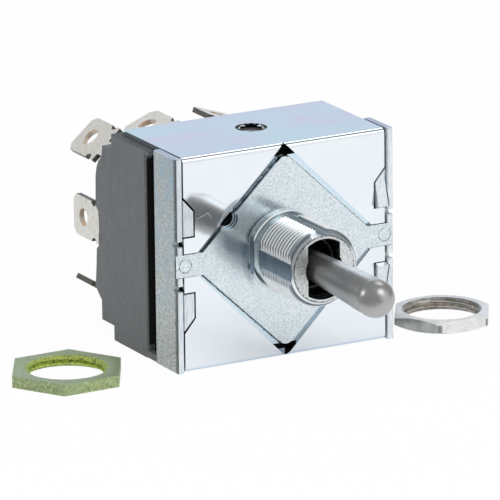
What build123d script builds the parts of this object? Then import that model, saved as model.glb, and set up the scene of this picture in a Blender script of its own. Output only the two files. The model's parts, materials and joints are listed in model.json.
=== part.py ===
from build123d import *
import os
from math import cos, radians, sin, tan

# Panel toggle switch with three poles in a four-position base, in millimetres.
# The origin is on the bushing's axis, in the plane of the collar that seats on the panel.
# -Y is the way the lever points, +X is to the right seen from the lever, +Z is up.
# The lever turns about X, its lower ball slides a carriage up and down, and the carriage's
# plungers tip three see-saw contacts in the base. Two panel nuts lie beside the switch.

# Running and seating clearances
slip_gap = 0.05
fit_gap = 0.10
tab_gap = 0.25
side_gap = 0.30

# Folded sheet covers: an upper and a lower angle that meet at the casting's arms
cover_width = 33.8
cover_height = 32.6
cover_depth = 18.9
cover_sheet = 0.65
cover_bend_radius = 0.85
cover_front_y = 0.95
window_overrun = 0.1
notch_depth = 1.85
notch_low_z = 4.15
notch_mid_z = 8.2
notch_high_z = 10.4

# Side plates with two folded tabs, two stake lugs and a slot for the casting's arm each
plate_sheet = 1.0
plate_depth = 6.9
plate_front_y = 0.65
relief_low_z = 2.95
relief_width = 0.9
relief_depth = 1.4
plate_edge_radius = 0.25
raised_tab_lift_deg = 15.0
raised_tab_pivot_z = 8.4
tab_groove_width = 0.25
tab_groove_depth = 0.5

# Die-cast bushing plate
pad_side_gap = 0.8
pad_tip_gap = 1.55
pad_front_y = 0.8
pad_height = 0.8
pad_taper_deg = 12.0
pad_tip_radius = 1.5
flange_side_gap = 0.3
flange_edge_gap = 1.3
flange_thickness = 1.2
arm_half_height = 1.7
arm_end_thickness = 0.6
ejector_mark_radius = 1.08
ejector_mark_inset = 1.42
ejector_ring_width = 0.15
ejector_mark_depth = 0.2
witness_notch_radius = 1.75
witness_hole_radius = 1.2
witness_notch_x = -9.6
witness_edge_gap = 0.65

# Threaded bushing, its collar, flat, keyway and mouth
collar_radius = 6.3
collar_chamfer = 0.1
collar_flat_x = -5.65
thread_radius = 5.95
thread_relief_radius = 5.46
thread_relief_length = 1.3
seat_groove_radius = 5.98
seat_groove_depth = 0.2
bushing_length = 10.8
bushing_chamfer = 0.95
bushing_flat_x = -5.3
keyway_width = 2.0
keyway_floor_z = 5.0
bore_radius = 4.6
mouth_wall = 1.5
mouth_slot_width = 5.36
mouth_circle_radius = 3.05

# Sleeve in the bushing's bore
liner_lip_radius = 4.3
liner_bore_radius = 3.7
liner_lip_depth = 2.5

# Bat lever and its pin
lever_rest_deg = 1.5
lever_limit_deg = 13.5
pivot_depth = 1.75
pivot_ball_radius = 2.6
pin_radius = 0.9
lever_root_radius = 1.95
lever_tip_radius = 2.785
tip_ball_radius = 2.85
tip_ball_reach = 24.1
tip_taper_reach = 21.3
lower_arm_radius = 1.25
lower_ball_radius = 2.0
lower_ball_reach = 9.0

# Black mechanism case with the fork that holds the lever's pin
case_wall = 1.1
case_front_wall = 1.2
case_boss_wall = 1.5
case_boss_reach = 2.6
case_rear_y = 10.2

# Carriage that the lever's lower ball moves, with its plungers and springs
carriage_height = 9.0
carriage_depth = 5.95
pocket_floor = 0.75
plunger_radius = 1.5
plunger_tip_radius = 1.3
plunger_tip_y = 17.0
plunger_seat_length = 2.0
plunger_bore_depth = 4.15
spring_wire = 0.36
spring_turns = 3.5

# Moulded base
base_front_y = 10.3
base_step_y = 21.1
base_rear_side_inset = 0.1
base_edge_chamfer = 0.3
chamber_wall = 1.1
chamber_end_wall = 3.0
chamber_floor_y = 20.5
screw_boss_width = 6.4
screw_boss_height = 4.6
screw_boss_reach = 1.9
lower_lug_height = 1.0
upper_lug_height = 0.6
upper_lug_length = 1.1

# Screws under the holes in the cover
screw_x = 0.25
screw_y = 11.55
cover_hole_radius = 2.4
screw_head_radius = 2.2
screw_head_height = 1.3
screw_head_sink = 0.25
screw_shank_radius = 1.15
screw_length = 7.3
cross_arm_width = 1.15
cross_arm_length = 3.3
cross_depth = 0.8
cross_turn_deg = 61.0

# Tab terminals
tab_width = 6.3
tab_sheet = 0.8
tab_end_y = 35.45
tab_shoulder_y = 27.35
tab_corner = 0.9
tab_hole_radius = 1.35
tab_hole_inset = 3.2
tab_relief_radius = 0.7
tab_relief_y = 28.85
tab_neck_width = 2.6
foot_half_height = 2.9
foot_low_margin = 1.9
foot_end_gap = 0.2
foot_clearance = 0.1

# Contacts
contact_radius = 1.6
contact_height = 0.8
contact_end_margin = 1.7
contact_open_gap = 0.05
rocker_side_room = 1.1
rocker_end_room = 2.4
rocker_sheet = 0.9
rocker_ratio = 0.48
rocker_spare_deg = 0.24
rocker_rear_y = 18.0
rocker_lug_radius = 0.45
saddle_half_height = 1.0
cheek_sheet = 0.55
cheek_gap = 0.2
cheek_half_height = 1.6
cheek_front_margin = 0.9

# Panel nuts that lie beside the switch: place, turn, size across flats
nut_bore_radius = 5.55
chromate_nut_place = (-33.17, 7.46)
chromate_nut_turn_deg = 0.9
chromate_nut_flats = 15.65
chromate_nut_thickness = 1.75
chromate_nut_mouth_radius = 6.3
chromate_nut_mouth_depth = 0.4
nickel_nut_place = (29.07, 5.07)
nickel_nut_turn_deg = -1.9
nickel_nut_flats = 14.05
nickel_nut_thickness = 1.9
nickel_nut_mouth_radius = 5.97
nickel_nut_mouth_depth = 0.35
nickel_nut_corner_drop = 0.4
nickel_nut_corner_trim = 0.15

# Poles from left to right: the outer ones stand in from the cover's edge, the inner ones at a
# share of its half width, and the position at the right end is blank
outer_pole_inset = 3.2
inner_left_share = 0.355
inner_right_share = 0.343

# Tabs of the three poles, each tuple from left to right: shift along X from the pole's middle
# (for the middle tabs a share of their foot's half width), distance in from the chamber's end,
# turn about the Y axis, and shift of the neck on the blade
top_tab_shift = (-1.9, -0.1, -0.1)
top_tab_inset = (0.6, 0.0, 0.1)
top_tab_turn_deg = (41.0, 21.5, -18.4)
top_neck_shift = (-0.7, -1.3, 1.0)
middle_tab_share = (-1.0156, -0.0625, 0.0)
bottom_tab_shift = (-1.1, -0.1, -0.1)
bottom_tab_inset = (1.3, 0.2, 0.2)
bottom_tab_turn_deg = (-32.0, -20.0, 20.0)

# Rear outline of the base seen from the side, as (y, z) from the top down: a well at each row
# of terminals and a raised rib between the rows
base_rear_outline = [
    (24.25, 13.1),
    (24.5, 11.4),
    (25.6, 10.4),
    (26.2, 9.4),
    (26.6, 7.9),
    (26.75, 3.3),
    (25.8, 2.4),
    (25.7, -2.6),
    (26.6, -3.4),
    (26.8, -6.2),
    (27.15, -9.4),
    (26.2, -10.3),
    (25.2, -11.1),
    (25.2, -14.1),
]

# Values worked out from the sizes above
cover_top_z = cover_height / 2
floor_z = -cover_top_z
cover_half_width = cover_width / 2
cover_rear_y = cover_front_y + cover_depth
plate_inner_x = cover_half_width + side_gap
plate_outer_x = plate_inner_x + plate_sheet
plate_rear_y = plate_front_y + plate_depth
window_half_diagonal = cover_top_z + window_overrun
pad_half_width = window_half_diagonal - pad_side_gap
pad_half_height = window_half_diagonal - pad_tip_gap
flange_half_width = cover_half_width - flange_side_gap
flange_half_height = cover_top_z - cover_sheet - flange_edge_gap
flange_front_y = pad_front_y + pad_height
flange_rear_y = flange_front_y + flange_thickness
arm_end_y = pad_front_y + arm_end_thickness
case_front_y = flange_rear_y + fit_gap
case_inner_y = case_front_y + case_front_wall
case_half_width = plate_inner_x - fit_gap
case_half_height = cover_top_z - cover_sheet - fit_gap
case_boss_radius = bore_radius - fit_gap
case_boss_bore = case_boss_radius - case_boss_wall
pivot_y = -pivot_depth
lower_ball_y = pivot_y + lower_ball_reach
carriage_front_y = case_inner_y + fit_gap
carriage_rear_y = carriage_front_y + carriage_depth
carriage_half_width = case_half_width - case_wall - fit_gap
carriage_rest_z = lower_ball_reach * sin(radians(lever_rest_deg))
base_half_width = plate_outer_x
base_top_z = cover_top_z - cover_sheet - slip_gap
outer_pole_x = cover_half_width - outer_pole_inset
pole_x = (-outer_pole_x, -inner_left_share * cover_half_width, inner_right_share * cover_half_width)
chamber_half_width = (pole_x[1] - pole_x[0] - chamber_wall) / 2
chamber_half_height = base_top_z - chamber_end_wall
foot_half_width = chamber_half_width - foot_clearance
foot_high_z = chamber_half_height - foot_end_gap
foot_front_y = chamber_floor_y - tab_sheet
rocker_half_width = chamber_half_width - rocker_side_room
rocker_half_length = chamber_half_height - rocker_end_room
contact_z = rocker_half_length - contact_end_margin
foot_low_z = contact_z - foot_low_margin
rocker_axis_y = rocker_rear_y - rocker_lug_radius
rocker_bend_deg = lever_limit_deg * rocker_ratio + rocker_spare_deg
fixed_contact_y = rocker_rear_y + contact_height + contact_open_gap


def pole_terminals(index):
    """Middle of a pole, and its terminals as place (x, z), turn of the blade and neck shift."""
    x = pole_x[index]
    top_z = chamber_half_height - top_tab_inset[index]
    bottom_z = bottom_tab_inset[index] - chamber_half_height
    return {
        "x": x,
        "top": (x + top_tab_shift[index], top_z, top_tab_turn_deg[index], top_neck_shift[index]),
        "middle": (x + middle_tab_share[index] * foot_half_width, 0, 90, 0),
        "bottom": (x + bottom_tab_shift[index], bottom_z, bottom_tab_turn_deg[index], 0),
    }


poles = {index + 1: pole_terminals(index) for index in range(len(pole_x))}


def block(x_range, y_range, z_range):
    """A box between two limits on each axis."""
    size = [max(r) - min(r) for r in (x_range, y_range, z_range)]
    middle = [(max(r) + min(r)) / 2 for r in (x_range, y_range, z_range)]
    return Pos(*middle) * Box(*size)


def rod(axis_letter, radius, low, high, place=(0, 0)):
    """A cylinder along one axis from low to high; place is its centre on the other two."""
    body = Cylinder(radius, high - low)
    middle = (low + high) / 2
    if axis_letter == "X":
        return Pos(middle, place[0], place[1]) * Rot(0, 90, 0) * body
    if axis_letter == "Y":
        return Pos(place[0], middle, place[1]) * Rot(90, 0, 0) * body
    return Pos(place[0], place[1], middle) * body


def plate_outline(points, y_front, y_back):
    """Extrude a closed outline of (x, z) points from y_front back to y_back."""
    face = make_face(Polyline(*points, close=True))
    return extrude(Plane.XZ.offset(-y_front) * face, amount=y_front - y_back)


def turned(points):
    """Revolve a closed outline of (radius, y) points about the Y axis."""
    return revolve(make_face(Polyline(*points, close=True)), axis=Axis.Y)


def both_ways(part):
    """The part and its mirror image across the middle plane z = 0."""
    return [part, mirror(part, about=Plane.XY)]


def diamond(half_width, half_height):
    """Corners of a diamond that stands on one corner, as (x, z)."""
    return [(half_width, 0), (0, half_height), (-half_width, 0), (0, -half_height)]


def front_cover(sign):
    """Upper (1) or lower (-1) folded sheet, with its half of the window and its notches."""
    outer = block(
        (-cover_half_width, cover_half_width),
        (cover_front_y, cover_rear_y),
        (floor_z, cover_top_z),
    )
    outer = fillet(outer.edges().filter_by(Axis.X).group_by(Axis.Y)[0], cover_bend_radius)
    inner = block(
        (-cover_half_width - 1, cover_half_width + 1),
        (cover_front_y + cover_sheet, cover_rear_y + 1),
        (floor_z + cover_sheet, cover_top_z - cover_sheet),
    )
    inner_radius = cover_bend_radius - cover_sheet
    inner = fillet(inner.edges().filter_by(Axis.X).group_by(Axis.Y)[0], inner_radius)
    cover = outer - inner
    sheet_back = cover_front_y + cover_sheet
    window = diamond(window_half_diagonal, window_half_diagonal)
    cover -= plate_outline(window, cover_front_y - 1, flange_rear_y)
    edge = cover_half_width
    for side in (-1, 1):
        cover -= block(
            (side * (window_half_diagonal - 2 * arm_half_height), side * (edge + 1)),
            (cover_front_y - 1, sheet_back + 1),
            (-arm_half_height - fit_gap, arm_half_height + fit_gap),
        )
        notch = [
            (side * (edge + 1), notch_low_z),
            (side * (edge - notch_depth), notch_low_z),
            (side * (edge - notch_depth), notch_mid_z),
            (side * edge, notch_high_z),
            (side * (edge + 1), notch_high_z),
        ]
        for cut in both_ways(plate_outline(notch, cover_front_y - 1, sheet_back + 1)):
            cover -= cut
    cover -= rod("Z", cover_hole_radius, floor_z - 1, cover_top_z + 1, (screw_x, screw_y))
    half = block((-edge, edge), (cover_front_y, cover_rear_y), (0, sign * cover_top_z))
    return cover & half


def folded_tab(side, lift_deg):
    """Tab of a side plate that fills the cover's upper notch, its lower part lifted."""
    root = plate_inner_x + plate_sheet / 2
    reach = cover_half_width - notch_depth + tab_gap
    slope = (notch_high_z - notch_mid_z) / notch_depth
    high = notch_mid_z + (root - reach) * slope - tab_gap
    points = [
        (side * root, notch_low_z + tab_gap),
        (side * reach, notch_low_z + tab_gap),
        (side * reach, notch_mid_z - tab_gap / 2),
        (side * root, high),
    ]
    tab = plate_outline(points, cover_front_y, cover_front_y + plate_sheet)
    if not lift_deg:
        return tab
    hinge_line = Pos(0, cover_front_y, raised_tab_pivot_z)
    reach_x = (side * reach, side * root)
    reach_y = (cover_front_y, cover_front_y + plate_sheet)
    overlap = plate_sheet * tan(radians(lift_deg))
    upper = tab & block(reach_x, reach_y, (raised_tab_pivot_z, notch_high_z))
    lower = tab & block(reach_x, reach_y, (notch_low_z, raised_tab_pivot_z + overlap))
    return upper + hinge_line * Rot(-lift_deg, 0, 0) * hinge_line.inverse() * lower


def side_plate(side, lift_deg):
    """Side plate: a deep strip with a slot for the arm, relief notches and two tabs."""
    plate = block(
        (side * plate_inner_x, side * plate_outer_x),
        (plate_front_y, plate_rear_y),
        (floor_z, cover_top_z),
    )
    front_edges = plate.edges().filter_by(Axis.Z).group_by(Axis.Y)[0]
    plate = fillet(front_edges, plate_edge_radius)
    cut_x = (side * (plate_inner_x - 1), side * (plate_outer_x + 1))
    plate -= block(
        cut_x,
        (plate_front_y - 1, arm_end_y + slip_gap),
        (-arm_half_height - slip_gap, arm_half_height + slip_gap),
    )
    relief = block(
        cut_x,
        (plate_front_y - 1, plate_front_y + relief_depth),
        (relief_low_z, relief_low_z + relief_width),
    )
    for cut in both_ways(relief):
        plate -= cut
    for tab in both_ways(folded_tab(side, lift_deg)):
        plate += tab
    groove = block(
        (side * (plate_inner_x - tab_groove_width), side * plate_inner_x),
        (plate_front_y - plate_sheet, cover_front_y + tab_groove_depth),
        (notch_low_z, notch_high_z),
    )
    for cut in both_ways(groove):
        plate -= cut
    return plate


def bushing_pad():
    """Diamond pad with a draft on its edge and rounded upper and lower tips."""
    spread = pad_height * tan(radians(pad_taper_deg)) * 2**0.5
    foot = diamond(pad_half_width + spread, pad_half_height + spread)
    face = make_face(Polyline(*foot, close=True))
    tips = face.vertices().group_by(Axis.X)[1]
    face = fillet(tips, pad_tip_radius)
    face = Plane.XZ.offset(-flange_front_y) * face
    return extrude(face, amount=pad_height, taper=pad_taper_deg)


def bushing_mouth():
    """The slot with a wider middle that the lever comes out of."""
    depth = (-bushing_length - 1, -bushing_length + mouth_wall + 1)
    half = mouth_slot_width / 2
    slot = block((-half, half), depth, (-bore_radius, bore_radius))
    slot &= rod("Y", bore_radius, *depth)
    return slot + rod("Y", mouth_circle_radius, *depth)


def bushing_plate():
    """Casting: flange, diamond pad, arms, collar and bushing with keyway, flat and mouth."""
    casting = block(
        (-flange_half_width, flange_half_width),
        (flange_front_y, flange_rear_y),
        (-flange_half_height, flange_half_height),
    )
    for side in (-1, 1):
        pocket = block(
            (side * (cover_half_width - notch_depth - tab_gap), side * (flange_half_width + 1)),
            (flange_front_y - 1, flange_rear_y + 1),
            (notch_low_z - tab_gap, notch_high_z + tab_gap),
        )
        for cut in both_ways(pocket):
            casting -= cut
    casting += bushing_pad()
    for reach, rear_y in ((cover_half_width, flange_rear_y), (plate_outer_x, arm_end_y)):
        casting += block(
            (-reach, reach), (pad_front_y, rear_y), (-arm_half_height, arm_half_height)
        )
    for side in (-1, 1):
        mark_x = side * (plate_outer_x - ejector_mark_inset)
        mark_y = pad_front_y + ejector_mark_depth
        ring = rod("Y", ejector_mark_radius, pad_front_y - 1, mark_y, (mark_x, 0))
        core_radius = ejector_mark_radius - ejector_ring_width
        ring -= rod("Y", core_radius, pad_front_y - 2, mark_y + 1, (mark_x, 0))
        casting -= ring
    collar = rod("Y", collar_radius, 0, flange_front_y)
    collar = chamfer(collar.edges().group_by(Axis.Y)[0], collar_chamfer)
    collar -= block(
        (collar_flat_x, -collar_radius - 1), (-1, pad_front_y), (-collar_radius, collar_radius)
    )
    collar -= rod("Y", seat_groove_radius, -1, seat_groove_depth)
    casting += collar
    relief_y = -thread_relief_length
    barrel = turned([
        (0, flange_front_y),
        (thread_relief_radius, flange_front_y),
        (thread_relief_radius, relief_y),
        (thread_radius, relief_y),
        (thread_radius, -bushing_length + bushing_chamfer),
        (thread_radius - bushing_chamfer, -bushing_length),
        (0, -bushing_length),
    ])
    barrel -= block(
        (bushing_flat_x, -thread_radius - 1),
        (-bushing_length - 1, seat_groove_depth),
        (-thread_radius, thread_radius),
    )
    barrel -= block(
        (-keyway_width / 2, keyway_width / 2),
        (-bushing_length - 1, seat_groove_depth),
        (keyway_floor_z, thread_radius + 1),
    )
    casting += barrel
    casting -= rod("Y", bore_radius, -bushing_length + mouth_wall, flange_rear_y + 1)
    casting -= bushing_mouth()
    witness_z = window_half_diagonal - witness_edge_gap - abs(witness_notch_x)
    place = (witness_notch_x, witness_z)
    casting -= rod("Y", witness_notch_radius, pad_front_y - 1, flange_front_y, place)
    return casting - rod("Y", witness_hole_radius, flange_front_y - 1, flange_rear_y + 1, place)


def bushing_liner():
    """Black sleeve in the bore, with a wider lip behind the mouth."""
    front = -bushing_length + mouth_wall + slip_gap
    rear = -case_boss_reach - fit_gap
    sleeve = rod("Y", bore_radius - slip_gap, front, rear)
    sleeve -= rod("Y", liner_lip_radius, front - 1, front + liner_lip_depth)
    return sleeve - rod("Y", liner_bore_radius, front, rear + 1)


def tilted(part, angle_deg, axis_y):
    """Turn a part about the X axis through (axis_y, 0)."""
    return Pos(0, axis_y, 0) * Rot(angle_deg, 0, 0) * Pos(0, -axis_y, 0) * part


def ball_side(ball_radius, neck_radius):
    """How far from a ball's middle its surface is as wide as the neck that joins it."""
    return (ball_radius**2 - neck_radius**2) ** 0.5


def lever():
    """Bat lever: tapered handle with a ball tip, pivot ball, lower arm and lower ball."""
    tip_y = pivot_y - tip_ball_reach
    tip_neck_y = tip_y + ball_side(tip_ball_radius, lever_tip_radius)
    root_y = pivot_y - ball_side(pivot_ball_radius, lever_root_radius)
    arm_y = pivot_y + ball_side(pivot_ball_radius, lower_arm_radius)
    ball_y = lower_ball_y - ball_side(lower_ball_radius, lower_arm_radius)
    outline = [
        ThreePointArc((0, tip_y - tip_ball_radius), (tip_ball_radius, tip_y), (lever_tip_radius, tip_neck_y)),
        Line((lever_tip_radius, tip_neck_y), (lever_tip_radius, pivot_y - tip_taper_reach)),
        Line((lever_tip_radius, pivot_y - tip_taper_reach), (lever_root_radius, root_y)),
        ThreePointArc((lever_root_radius, root_y), (pivot_ball_radius, pivot_y), (lower_arm_radius, arm_y)),
        Line((lower_arm_radius, arm_y), (lower_arm_radius, ball_y)),
        ThreePointArc(
            (lower_arm_radius, ball_y),
            (lower_ball_radius, lower_ball_y),
            (0, lower_ball_y + lower_ball_radius),
        ),
        Line((0, lower_ball_y + lower_ball_radius), (0, tip_y - tip_ball_radius)),
    ]
    body = revolve(make_face(outline), axis=Axis.Y)
    body -= rod("X", pin_radius + slip_gap, -pivot_ball_radius, pivot_ball_radius, (pivot_y, 0))
    return tilted(body, lever_rest_deg, pivot_y)


def lever_pin():
    """Pin through the lever's pivot ball, held in the case's fork."""
    half = case_boss_radius - fit_gap
    return rod("X", pin_radius, -half, half, (pivot_y, 0))


def screw_boss_box(gap):
    """Block round the upper screw at the base's front, grown by a gap."""
    half = screw_boss_width / 2 + gap
    top = case_half_height
    return block(
        (screw_x - half, screw_x + half),
        (base_front_y - screw_boss_reach - gap, base_front_y + gap),
        (top - screw_boss_height - gap, top + gap),
    )


def mechanism_case():
    """Black case: front wall and four sides, open at the rear, with the pin's fork in front."""
    case = block(
        (-case_half_width, case_half_width),
        (case_front_y, case_rear_y),
        (-case_half_height, case_half_height),
    )
    inner_x = case_half_width - case_wall
    inner_z = case_half_height - case_wall
    case -= block((-inner_x, inner_x), (case_inner_y, case_rear_y + 1), (-inner_z, inner_z))
    case += rod("Y", case_boss_radius, -case_boss_reach, case_inner_y)
    case -= rod("Y", case_boss_bore, -case_boss_reach - 1, case_inner_y + 1)
    pin_hole = pin_radius + slip_gap
    case -= rod("X", pin_hole, -case_boss_radius - 1, case_boss_radius + 1, (pivot_y, 0))
    case -= block(
        (-case_boss_radius - 1, case_boss_radius + 1),
        (-case_boss_reach - 1, pivot_y),
        (-pin_hole, pin_hole),
    )
    for cut in both_ways(screw_boss_box(fit_gap)):
        case -= cut
    return case


def actuator():
    """Carriage with a pocket for the lever's lower ball and a bore for each plunger."""
    half_height = carriage_height / 2
    body = block(
        (-carriage_half_width, carriage_half_width),
        (carriage_front_y, carriage_rear_y),
        (-half_height, half_height),
    )
    pocket = lower_ball_radius + fit_gap
    body -= block(
        (-pocket, pocket),
        (carriage_front_y - 1, carriage_rear_y - pocket_floor),
        (-pocket, pocket),
    )
    for pole in poles.values():
        body -= rod(
            "Y",
            plunger_radius + fit_gap,
            carriage_rear_y - plunger_bore_depth,
            carriage_rear_y + 1,
            (pole["x"], 0),
        )
    return Pos(0, 0, carriage_rest_z) * body


def plunger(pole):
    """Round-nosed plunger that stands out of the carriage's rear face."""
    seat_y = carriage_rear_y - plunger_seat_length
    ball_y = plunger_tip_y - plunger_tip_radius
    place = (pole["x"], carriage_rest_z)
    body = rod("Y", plunger_radius, seat_y, carriage_rear_y, place)
    body += rod("Y", plunger_tip_radius, seat_y, ball_y, place)
    return body + Pos(pole["x"], ball_y, carriage_rest_z) * Sphere(plunger_tip_radius)


def plunger_spring(pole):
    """Compression spring between the bottom of the bore and the plunger."""
    front = carriage_rear_y - plunger_bore_depth + slip_gap
    rear = carriage_rear_y - plunger_seat_length - slip_gap
    coil_radius = plunger_radius - spring_wire / 2
    rise = rear - front - spring_wire
    path = Helix(pitch=rise / spring_turns, height=rise, radius=coil_radius)
    section = Plane(origin=path @ 0, z_dir=path % 0) * Circle(spring_wire / 2)
    coil = sweep(section, path=path)
    seat = Pos(pole["x"], front + spring_wire / 2, carriage_rest_z) * Rot(-90, 0, 0)
    return seat * coil


def contact_rocker(pole):
    """See-saw contact: a plate bent to a shallow V, with a button near each end."""
    half = rocker_half_width
    front_y = rocker_rear_y - rocker_sheet
    arm = block((-half, half), (front_y, rocker_rear_y), (0, rocker_half_length))
    arm += rod("Y", contact_radius, front_y, rocker_rear_y + contact_height, (0, contact_z))
    arm = tilted(arm, rocker_bend_deg, rocker_rear_y)
    body = arm + mirror(arm, about=Plane.XY)
    lug_reach = half + cheek_gap + cheek_sheet
    body += rod("X", rocker_lug_radius, -lug_reach, lug_reach, (rocker_axis_y, 0))
    rest_turn = -rocker_ratio * lever_rest_deg
    return Pos(pole["x"], 0, 0) * tilted(body, rest_turn, rocker_axis_y)


def fixed_contacts():
    """Silver heads on the feet of the six outer terminals."""
    heads = []
    for pole in poles.values():
        for sign in (-1, 1):
            place = (pole["x"], sign * contact_z)
            heads.append(rod("Y", contact_radius, fixed_contact_y, foot_front_y, place))
    return Compound(children=heads)


def blade_frame(terminal):
    """Local frame of a terminal: X across the blade, Y towards its end."""
    x, z, turn_deg, _ = terminal
    return Pos(x, 0, z) * Rot(0, -turn_deg, 0)


def terminal_neck(terminal, gap):
    """Narrow part of a terminal inside the base, grown by a gap on its four sides."""
    shift = terminal[3]
    half = tab_neck_width / 2 + gap
    neck = block(
        (shift - half, shift + half),
        (chamber_floor_y, tab_shoulder_y),
        (-tab_sheet / 2 - gap, tab_sheet / 2 + gap),
    )
    return blade_frame(terminal) * neck


def terminal_blade(terminal):
    """Flat tab with cut corners, a hole near its end and two round reliefs at its root."""
    half = tab_width / 2
    blade = block((-half, half), (tab_shoulder_y, tab_end_y), (-tab_sheet / 2, tab_sheet / 2))
    corners = blade.edges().filter_by(Axis.Z).group_by(Axis.Y)[-1]
    blade = chamfer(corners, tab_corner)
    cut_z = (-tab_sheet, tab_sheet)
    blade -= rod("Z", tab_hole_radius, *cut_z, (0, tab_end_y - tab_hole_inset))
    for side in (-1, 1):
        blade -= rod("Z", tab_relief_radius, *cut_z, (side * half, tab_relief_y))
    return blade_frame(terminal) * blade


def terminal_foot(pole, row):
    """Plate on the chamber floor that a terminal's neck stands on, with the saddle on it."""
    x_range = (pole["x"] - foot_half_width, pole["x"] + foot_half_width)
    y_range = (foot_front_y, chamber_floor_y)
    if row == "top":
        return block(x_range, y_range, (foot_low_z, foot_high_z))
    if row == "bottom":
        return block(x_range, y_range, (-foot_high_z, -foot_low_z))
    foot = block(x_range, y_range, (-foot_half_height, foot_half_height))
    foot += block(
        (pole["x"] - rocker_half_width, pole["x"] + rocker_half_width),
        (rocker_rear_y + slip_gap, foot_front_y),
        (-saddle_half_height, saddle_half_height),
    )
    notch = rocker_lug_radius + slip_gap
    cheek_y = rocker_axis_y - cheek_front_margin
    for side in (-1, 1):
        inner = pole["x"] + side * (rocker_half_width + cheek_gap)
        cheek = block(
            (inner, inner + side * cheek_sheet),
            (cheek_y, foot_front_y),
            (-cheek_half_height, cheek_half_height),
        )
        cut_x = sorted((inner - side, inner + side * (cheek_sheet + 1)))
        cheek -= rod("X", notch, *cut_x, (rocker_axis_y, 0))
        cheek -= block(cut_x, (cheek_y - 1, rocker_axis_y), (-notch, notch))
        foot += cheek
    return foot


def terminal(pole, row):
    """One terminal: foot in the chamber, neck through the floor, tab outside."""
    piece = terminal_foot(pole, row)
    piece += terminal_neck(pole[row], 0)
    return piece + terminal_blade(pole[row])


def base_body():
    """Outer form of the base: front block, rear block with its wells and ribs, corner lugs."""
    front = block(
        (-base_half_width, base_half_width), (base_front_y, base_step_y), (floor_z, base_top_z)
    )
    front = chamfer(front.edges().group_by(Axis.Y)[0], base_edge_chamfer)
    front -= block(
        (-cover_half_width - fit_gap, cover_half_width + fit_gap),
        (base_front_y - 1, cover_rear_y + fit_gap),
        (floor_z - 1, floor_z + cover_sheet + slip_gap),
    )
    outline = [(base_step_y - 1, base_rear_outline[0][1])] + base_rear_outline
    outline.append((base_step_y - 1, base_rear_outline[-1][1]))
    side_face = make_face(Polyline(*outline, close=True))
    rear_half = base_half_width - base_rear_side_inset
    rear = extrude(Plane.YZ * side_face, amount=rear_half, both=True)
    body = front + rear
    for side in (-1, 1):
        lug_x = (side * plate_inner_x, side * base_half_width)
        lug_y = (plate_rear_y + slip_gap, base_front_y + base_edge_chamfer)
        low = floor_z + fit_gap
        body += block(lug_x, lug_y, (low, low + lower_lug_height))
        lug_y = (base_front_y - upper_lug_length, base_front_y + base_edge_chamfer)
        body += block(lug_x, lug_y, (base_top_z - upper_lug_height, base_top_z))
    return body


def base():
    """Moulded base with four contact chambers, slots for the terminals and screw bosses."""
    body = base_body()
    for boss in both_ways(screw_boss_box(0)):
        body += boss
    for middle in pole_x + (outer_pole_x,):
        body -= block(
            (middle - chamber_half_width, middle + chamber_half_width),
            (base_front_y - 1, chamber_floor_y),
            (-chamber_half_height, chamber_half_height),
        )
    for pole in poles.values():
        for row in ("top", "middle", "bottom"):
            body -= terminal_neck(pole[row], slip_gap)
    head_floor = screw_head_top() - screw_head_height - slip_gap
    sink = rod("Z", screw_head_radius + fit_gap, head_floor, cover_top_z, (screw_x, screw_y))
    tip = screw_head_top() - screw_length - fit_gap
    hole = rod("Z", screw_shank_radius + slip_gap, tip, cover_top_z, (screw_x, screw_y))
    for cut in both_ways(sink) + both_ways(hole):
        body -= cut
    return body


def screw_head_top():
    """Height of the upper screw's head, sunk a little below the base's top face."""
    return base_top_z - screw_head_sink


def cover_screws():
    """Two cross-recess screws under the holes in the cover."""
    top = screw_head_top()
    place = (screw_x, screw_y)
    head = rod("Z", screw_head_radius, top - screw_head_height, top, place)
    head = chamfer(head.edges().group_by(Axis.Z)[-1], screw_head_sink)
    arm = Box(cross_arm_length, cross_arm_width, 2 * cross_depth)
    cross = arm + Rot(0, 0, 90) * arm
    head -= Pos(screw_x, screw_y, top) * Rot(0, 0, cross_turn_deg) * cross
    screw = head + rod("Z", screw_shank_radius, top - screw_length, top - screw_head_height, place)
    return Compound(children=both_ways(screw))


def hexagon(across_flats, thickness, turn_deg):
    """Hexagonal blank that stands on z = 0, a corner towards +X before its turn."""
    corner_radius = across_flats / 2 / cos(radians(30))
    face = RegularPolygon(radius=corner_radius, side_count=6)
    return Rot(0, 0, turn_deg) * extrude(face, amount=thickness)


def nut_bore(thickness, mouth_radius, mouth_depth):
    """Threaded hole's bore with a cone at both mouths, standing on z = 0."""
    outline = [
        (0, -1),
        (mouth_radius, -1),
        (mouth_radius, 0),
        (nut_bore_radius, mouth_depth),
        (nut_bore_radius, thickness - mouth_depth),
        (mouth_radius, thickness),
        (mouth_radius, thickness + 1),
        (0, thickness + 1),
    ]
    return revolve(Plane.XZ * make_face(Polyline(*outline, close=True)), axis=Axis.Z)


def panel_nut_chromate():
    """Larger panel nut with sharp corners."""
    nut = hexagon(chromate_nut_flats, chromate_nut_thickness, chromate_nut_turn_deg)
    nut -= nut_bore(chromate_nut_thickness, chromate_nut_mouth_radius, chromate_nut_mouth_depth)
    return Pos(*chromate_nut_place, floor_z) * nut


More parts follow.
